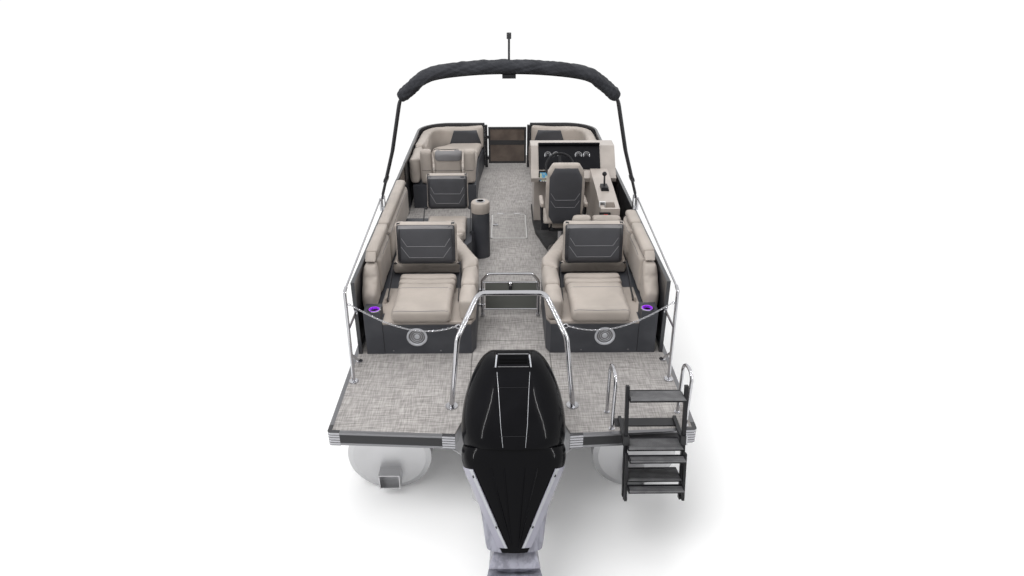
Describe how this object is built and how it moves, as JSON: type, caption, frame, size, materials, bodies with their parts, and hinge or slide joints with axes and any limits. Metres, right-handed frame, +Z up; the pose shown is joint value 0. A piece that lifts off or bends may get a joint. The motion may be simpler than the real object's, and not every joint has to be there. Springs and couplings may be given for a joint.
{
  "type": "pontoon boat",
  "caption": "Triple-tube pontoon boat with railed deck, gates, lounges, swing-back seats, helm, folded canvas top, ladder and tilted outboard.",
  "frame": {"origin": "on the floor under the middle of the boat's box", "axes": "+X to starboard, +Y to the bow, +Z up"},
  "size_m": [2.59, 7.8881, 3.099],
  "materials": {
    "tube_metal": "brushed, satin",
    "frame_metal": "extruded, satin",
    "chrome": "polished stainless",
    "decking": "woven vinyl",
    "fence_skin": "satin dark skin",
    "gate_black": "satin black with smoked panels",
    "base_shell": "moulded beige",
    "cushion_beige": "marine vinyl",
    "cushion_dark": "marine vinyl, charcoal",
    "console_shell": "gel coat",
    "dash_black": "hooded panel",
    "black_parts": "textured",
    "mat": "ribbed mat",
    "canvas": "woven acrylic",
    "cowl_black": "polished black",
    "apron_silver": "satin with silver side strips",
    "leg_black": "gloss black",
    "prop_steel": "polished blades"
  },
  "bodies": {
    "boat": {"bow_base_port": "base_shell", "bow_base_starboard": "base_shell", "bow_cushions_port": "cushion_beige", "bow_cushions_starboard": "cushion_beige", "bow_gate_posts": "gate_black", "chain_port": "chrome", "chain_starboard": "chrome", "coaming_port": "cushion_beige", "coaming_starboard": "cushion_beige", "console": "console_shell", "corner_caps": "black_parts", "crossmembers": "frame_metal", "dash": "dash_black", "deck": "decking", "engine_clamp": "leg_black", "fence_port_aft": "fence_skin", "fence_port_bow": "fence_skin", "fence_starboard_aft": "fence_skin", "fence_starboard_bow": "fence_skin", "hatch_hinges": "chrome", "helm_pedestal": "frame_metal", "helm_step": "mat", "ladder_mount": "chrome", "mid_base": "base_shell", "mid_cushions": "cushion_beige", "motor_well": "tube_metal", "pontoon_centre": "tube_metal", "pontoon_port": "tube_metal", "pontoon_starboard": "tube_metal", "rub_rails": "frame_metal", "stern_base_port": "base_shell", "stern_base_starboard": "base_shell", "stern_cushions_port": "cushion_beige", "stern_cushions_starboard": "cushion_beige", "stern_gate_hinges": "chrome", "stern_rails": "chrome", "throttle": "black_parts", "top_mounts": "chrome", "tow_bar": "chrome"},
    "tilt_bracket": {"engine_swivel": "leg_black"},
    "powerhead": {"engine_cowl": "cowl_black", "engine_apron": "apron_silver", "engine_leg": "leg_black"},
    "prop": {"propeller": "prop_steel"},
    "wheel": {"steering_wheel": "black_parts"},
    "chair": {"helm_chair": "cushion_beige"},
    "arms_port": {"swing_arms_port": "chrome"},
    "back_port": {"swing_back_port": "cushion_dark"},
    "arms_starboard": {"swing_arms_starboard": "chrome"},
    "back_starboard": {"swing_back_starboard": "cushion_dark"},
    "arms_mid": {"swing_arms_mid": "chrome"},
    "back_mid": {"swing_back_mid": "cushion_dark"},
    "gate_bow": {"bow_gate": "gate_black"},
    "gate_side": {"side_gate": "gate_black"},
    "gate_stern": {"stern_gate": "chrome"},
    "hatch": {"floor_hatch": "frame_metal"},
    "ladder_upper": {"ladder": "black_parts"},
    "ladder_fold": {"ladder_lower": "black_parts"},
    "canvas_top": {"top_frame": "chrome", "top_canvas": "canvas"}
  },
  "joints": [
    {"name": "engine_tilt", "type": "hinge", "parent": "boat", "child": "tilt_bracket", "pos_m": [0, -2.92, 0.777], "axis": [-1, 0, 0], "range_deg": [-32, 38]},
    {"name": "engine_steer", "type": "hinge", "parent": "tilt_bracket", "child": "powerhead", "pos_m": [0, -3.08113, 0.87768], "axis": [0, 0.5299, 0.848], "range_deg": [-30, 30]},
    {"name": "propeller_spin", "type": "hinge", "parent": "powerhead", "child": "prop", "pos_m": [0, -3.84385, 0.29302], "axis": [0, -0.848, 0.5299], "continuous": true},
    {"name": "wheel_turn", "type": "hinge", "parent": "boat", "child": "wheel", "pos_m": [0.562, 0.655, 1.612], "axis": [0, -0.866, 0.5], "range_deg": [-540, 540]},
    {"name": "chair_swivel", "type": "hinge", "parent": "boat", "child": "chair", "pos_m": [0.562, 0.2, 1.112], "axis": [0, 0, 1], "continuous": true},
    {"name": "seat_arms_port", "type": "hinge", "parent": "boat", "child": "arms_port", "pos_m": [-0.75, -1.44, 1.102], "axis": [1, 0, 0], "range_deg": [0, 139.8]},
    {"name": "seat_back_port", "type": "hinge", "parent": "arms_port", "child": "back_port", "pos_m": [-0.75, -1.03, 1.252], "axis": [1, 0, 0], "range_deg": [-124.47, 0]},
    {"name": "seat_arms_starboard", "type": "hinge", "parent": "boat", "child": "arms_starboard", "pos_m": [0.75, -1.44, 1.102], "axis": [1, 0, 0], "range_deg": [0, 139.8]},
    {"name": "seat_back_starboard", "type": "hinge", "parent": "arms_starboard", "child": "back_starboard", "pos_m": [0.75, -1.03, 1.252], "axis": [1, 0, 0], "range_deg": [-124.47, 0]},
    {"name": "seat_arms_mid", "type": "hinge", "parent": "boat", "child": "arms_mid", "pos_m": [-0.655, 0.05, 1.102], "axis": [1, 0, 0], "range_deg": [0, 126.87]},
    {"name": "seat_back_mid", "type": "hinge", "parent": "arms_mid", "child": "back_mid", "pos_m": [-0.655, 0.35, 1.252], "axis": [1, 0, 0], "range_deg": [-111.57, 0]},
    {"name": "bow_gate_hinge", "type": "hinge", "parent": "boat", "child": "gate_bow", "pos_m": [-0.28, 3.319, 1.082], "axis": [0, 0, -1], "range_deg": [0, 90]},
    {"name": "side_gate_hinge", "type": "hinge", "parent": "boat", "child": "gate_side", "pos_m": [-1.214, 0.77, 1.082], "axis": [0, 0, -1], "range_deg": [0, 90]},
    {"name": "stern_gate_hinge", "type": "hinge", "parent": "boat", "child": "gate_stern", "pos_m": [-0.25, -1.17, 0.982], "axis": [0, 0, -1], "range_deg": [0, 90]},
    {"name": "hatch_hinge", "type": "hinge", "parent": "boat", "child": "hatch", "pos_m": [0.005, 1.387, 0.7875], "axis": [-1, 0, 0], "range_deg": [0, 95]},
    {"name": "ladder_slide", "type": "slide", "parent": "boat", "child": "ladder_upper", "axis": [0, 0.2419, 0.9703], "range_m": [-0.24, 0]},
    {"name": "ladder_fold_hinge", "type": "hinge", "parent": "ladder_upper", "child": "ladder_fold", "pos_m": [0.9615, -3.07798, 0.42103], "axis": [1, 0, 0], "range_deg": [0, 178]},
    {"name": "canvas_top_fold", "type": "hinge", "parent": "boat", "child": "canvas_top", "pos_m": [0, -0.17, 1.567], "axis": [1, 0, 0], "range_deg": [0, 75]}
  ],
  "couplings": [
    {"joint": "seat_back_port", "follows": "seat_arms_port", "ratio": -0.89},
    {"joint": "seat_back_starboard", "follows": "seat_arms_starboard", "ratio": -0.89},
    {"joint": "seat_back_mid", "follows": "seat_arms_mid", "ratio": -0.879}
  ]
}
